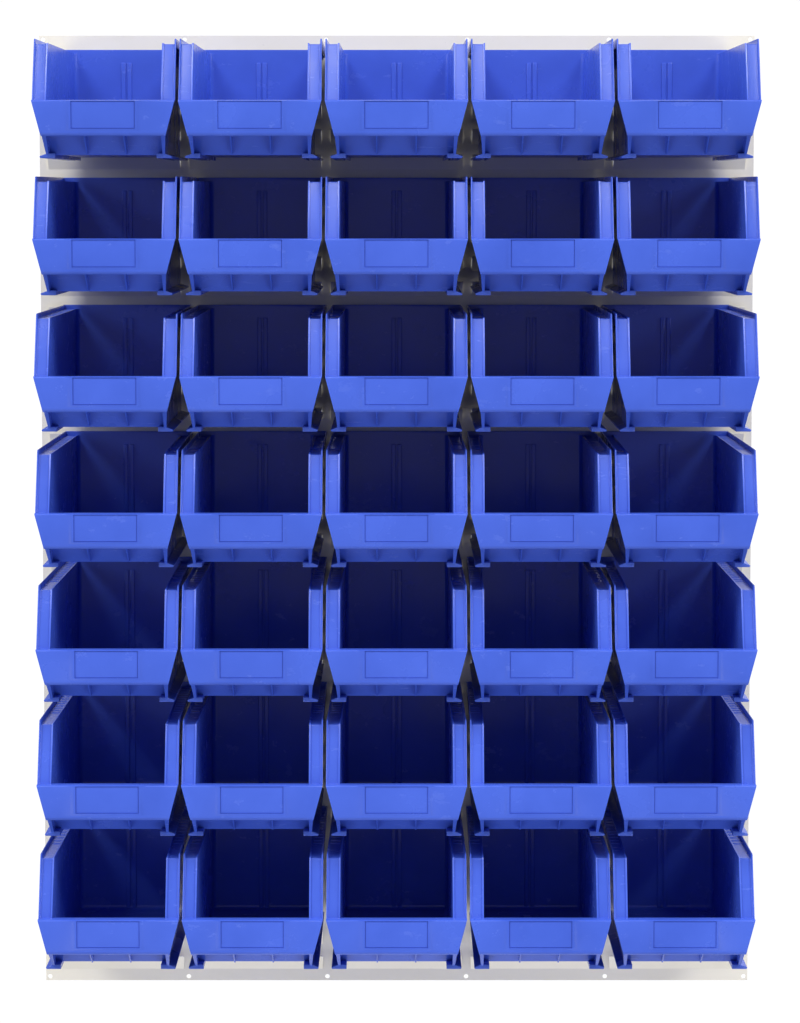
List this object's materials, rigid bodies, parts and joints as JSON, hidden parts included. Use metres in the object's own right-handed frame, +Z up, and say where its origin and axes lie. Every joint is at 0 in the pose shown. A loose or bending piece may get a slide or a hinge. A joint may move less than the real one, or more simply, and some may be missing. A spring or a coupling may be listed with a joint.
{
  "type": "hanging parts bin wall unit",
  "caption": "Louvered steel wall panel with rows of open-front plastic parts bins that hang on its louvers and lift off one by one.",
  "frame": {"origin": "centre of the wall bolt pattern, on the back face of the louvered panel", "axes": "+Z up the panel, +X to the right as seen from in front, +Y into the wall, so the bins open towards -Y"},
  "size_m": [1.156, 0.3767, 1.5494],
  "materials": {
    "panel_paint": "satin light beige powder coat",
    "bin_plastic": "glossy blue moulded plastic"
  },
  "bodies": {
    "panel": {"louver_panel": "panel_paint"},
    "bin_r1_c1": {"bin_r1_c1": "bin_plastic"},
    "bin_r1_c2": {"bin_r1_c2": "bin_plastic"},
    "bin_r1_c3": {"bin_r1_c3": "bin_plastic"},
    "bin_r1_c4": {"bin_r1_c4": "bin_plastic"},
    "bin_r1_c5": {"bin_r1_c5": "bin_plastic"},
    "bin_r2_c1": {"bin_r2_c1": "bin_plastic"},
    "bin_r2_c2": {"bin_r2_c2": "bin_plastic"},
    "bin_r2_c3": {"bin_r2_c3": "bin_plastic"},
    "bin_r2_c4": {"bin_r2_c4": "bin_plastic"},
    "bin_r2_c5": {"bin_r2_c5": "bin_plastic"},
    "bin_r3_c1": {"bin_r3_c1": "bin_plastic"},
    "bin_r3_c2": {"bin_r3_c2": "bin_plastic"},
    "bin_r3_c3": {"bin_r3_c3": "bin_plastic"},
    "bin_r3_c4": {"bin_r3_c4": "bin_plastic"},
    "bin_r3_c5": {"bin_r3_c5": "bin_plastic"},
    "bin_r4_c1": {"bin_r4_c1": "bin_plastic"},
    "bin_r4_c2": {"bin_r4_c2": "bin_plastic"},
    "bin_r4_c3": {"bin_r4_c3": "bin_plastic"},
    "bin_r4_c4": {"bin_r4_c4": "bin_plastic"},
    "bin_r4_c5": {"bin_r4_c5": "bin_plastic"},
    "bin_r5_c1": {"bin_r5_c1": "bin_plastic"},
    "bin_r5_c2": {"bin_r5_c2": "bin_plastic"},
    "bin_r5_c3": {"bin_r5_c3": "bin_plastic"},
    "bin_r5_c4": {"bin_r5_c4": "bin_plastic"},
    "bin_r5_c5": {"bin_r5_c5": "bin_plastic"},
    "bin_r6_c1": {"bin_r6_c1": "bin_plastic"},
    "bin_r6_c2": {"bin_r6_c2": "bin_plastic"},
    "bin_r6_c3": {"bin_r6_c3": "bin_plastic"},
    "bin_r6_c4": {"bin_r6_c4": "bin_plastic"},
    "bin_r6_c5": {"bin_r6_c5": "bin_plastic"},
    "bin_r7_c1": {"bin_r7_c1": "bin_plastic"},
    "bin_r7_c2": {"bin_r7_c2": "bin_plastic"},
    "bin_r7_c3": {"bin_r7_c3": "bin_plastic"},
    "bin_r7_c4": {"bin_r7_c4": "bin_plastic"},
    "bin_r7_c5": {"bin_r7_c5": "bin_plastic"}
  },
  "joints": [
    {"name": "lift_r1_c1", "type": "slide", "parent": "panel", "child": "bin_r1_c1", "axis": [0, -0.4472, 0.8944], "range_m": [0, 0.027]},
    {"name": "lift_r1_c2", "type": "slide", "parent": "panel", "child": "bin_r1_c2", "axis": [0, -0.4472, 0.8944], "range_m": [0, 0.027]},
    {"name": "lift_r1_c3", "type": "slide", "parent": "panel", "child": "bin_r1_c3", "axis": [0, -0.4472, 0.8944], "range_m": [0, 0.027]},
    {"name": "lift_r1_c4", "type": "slide", "parent": "panel", "child": "bin_r1_c4", "axis": [0, -0.4472, 0.8944], "range_m": [0, 0.027]},
    {"name": "lift_r1_c5", "type": "slide", "parent": "panel", "child": "bin_r1_c5", "axis": [0, -0.4472, 0.8944], "range_m": [0, 0.027]},
    {"name": "lift_r2_c1", "type": "slide", "parent": "panel", "child": "bin_r2_c1", "axis": [0, -0.4472, 0.8944], "range_m": [0, 0.027]},
    {"name": "lift_r2_c2", "type": "slide", "parent": "panel", "child": "bin_r2_c2", "axis": [0, -0.4472, 0.8944], "range_m": [0, 0.027]},
    {"name": "lift_r2_c3", "type": "slide", "parent": "panel", "child": "bin_r2_c3", "axis": [0, -0.4472, 0.8944], "range_m": [0, 0.027]},
    {"name": "lift_r2_c4", "type": "slide", "parent": "panel", "child": "bin_r2_c4", "axis": [0, -0.4472, 0.8944], "range_m": [0, 0.027]},
    {"name": "lift_r2_c5", "type": "slide", "parent": "panel", "child": "bin_r2_c5", "axis": [0, -0.4472, 0.8944], "range_m": [0, 0.027]},
    {"name": "lift_r3_c1", "type": "slide", "parent": "panel", "child": "bin_r3_c1", "axis": [0, -0.4472, 0.8944], "range_m": [0, 0.027]},
    {"name": "lift_r3_c2", "type": "slide", "parent": "panel", "child": "bin_r3_c2", "axis": [0, -0.4472, 0.8944], "range_m": [0, 0.027]},
    {"name": "lift_r3_c3", "type": "slide", "parent": "panel", "child": "bin_r3_c3", "axis": [0, -0.4472, 0.8944], "range_m": [0, 0.027]},
    {"name": "lift_r3_c4", "type": "slide", "parent": "panel", "child": "bin_r3_c4", "axis": [0, -0.4472, 0.8944], "range_m": [0, 0.027]},
    {"name": "lift_r3_c5", "type": "slide", "parent": "panel", "child": "bin_r3_c5", "axis": [0, -0.4472, 0.8944], "range_m": [0, 0.027]},
    {"name": "lift_r4_c1", "type": "slide", "parent": "panel", "child": "bin_r4_c1", "axis": [0, -0.4472, 0.8944], "range_m": [0, 0.027]},
    {"name": "lift_r4_c2", "type": "slide", "parent": "panel", "child": "bin_r4_c2", "axis": [0, -0.4472, 0.8944], "range_m": [0, 0.027]},
    {"name": "lift_r4_c3", "type": "slide", "parent": "panel", "child": "bin_r4_c3", "axis": [0, -0.4472, 0.8944], "range_m": [0, 0.027]},
    {"name": "lift_r4_c4", "type": "slide", "parent": "panel", "child": "bin_r4_c4", "axis": [0, -0.4472, 0.8944], "range_m": [0, 0.027]},
    {"name": "lift_r4_c5", "type": "slide", "parent": "panel", "child": "bin_r4_c5", "axis": [0, -0.4472, 0.8944], "range_m": [0, 0.027]},
    {"name": "lift_r5_c1", "type": "slide", "parent": "panel", "child": "bin_r5_c1", "axis": [0, -0.4472, 0.8944], "range_m": [0, 0.027]},
    {"name": "lift_r5_c2", "type": "slide", "parent": "panel", "child": "bin_r5_c2", "axis": [0, -0.4472, 0.8944], "range_m": [0, 0.027]},
    {"name": "lift_r5_c3", "type": "slide", "parent": "panel", "child": "bin_r5_c3", "axis": [0, -0.4472, 0.8944], "range_m": [0, 0.027]},
    {"name": "lift_r5_c4", "type": "slide", "parent": "panel", "child": "bin_r5_c4", "axis": [0, -0.4472, 0.8944], "range_m": [0, 0.027]},
    {"name": "lift_r5_c5", "type": "slide", "parent": "panel", "child": "bin_r5_c5", "axis": [0, -0.4472, 0.8944], "range_m": [0, 0.027]},
    {"name": "lift_r6_c1", "type": "slide", "parent": "panel", "child": "bin_r6_c1", "axis": [0, -0.4472, 0.8944], "range_m": [0, 0.027]},
    {"name": "lift_r6_c2", "type": "slide", "parent": "panel", "child": "bin_r6_c2", "axis": [0, -0.4472, 0.8944], "range_m": [0, 0.027]},
    {"name": "lift_r6_c3", "type": "slide", "parent": "panel", "child": "bin_r6_c3", "axis": [0, -0.4472, 0.8944], "range_m": [0, 0.027]},
    {"name": "lift_r6_c4", "type": "slide", "parent": "panel", "child": "bin_r6_c4", "axis": [0, -0.4472, 0.8944], "range_m": [0, 0.027]},
    {"name": "lift_r6_c5", "type": "slide", "parent": "panel", "child": "bin_r6_c5", "axis": [0, -0.4472, 0.8944], "range_m": [0, 0.027]},
    {"name": "lift_r7_c1", "type": "slide", "parent": "panel", "child": "bin_r7_c1", "axis": [0, -0.4472, 0.8944], "range_m": [0, 0.027]},
    {"name": "lift_r7_c2", "type": "slide", "parent": "panel", "child": "bin_r7_c2", "axis": [0, -0.4472, 0.8944], "range_m": [0, 0.027]},
    {"name": "lift_r7_c3", "type": "slide", "parent": "panel", "child": "bin_r7_c3", "axis": [0, -0.4472, 0.8944], "range_m": [0, 0.027]},
    {"name": "lift_r7_c4", "type": "slide", "parent": "panel", "child": "bin_r7_c4", "axis": [0, -0.4472, 0.8944], "range_m": [0, 0.027]},
    {"name": "lift_r7_c5", "type": "slide", "parent": "panel", "child": "bin_r7_c5", "axis": [0, -0.4472, 0.8944], "range_m": [0, 0.027]}
  ]
}
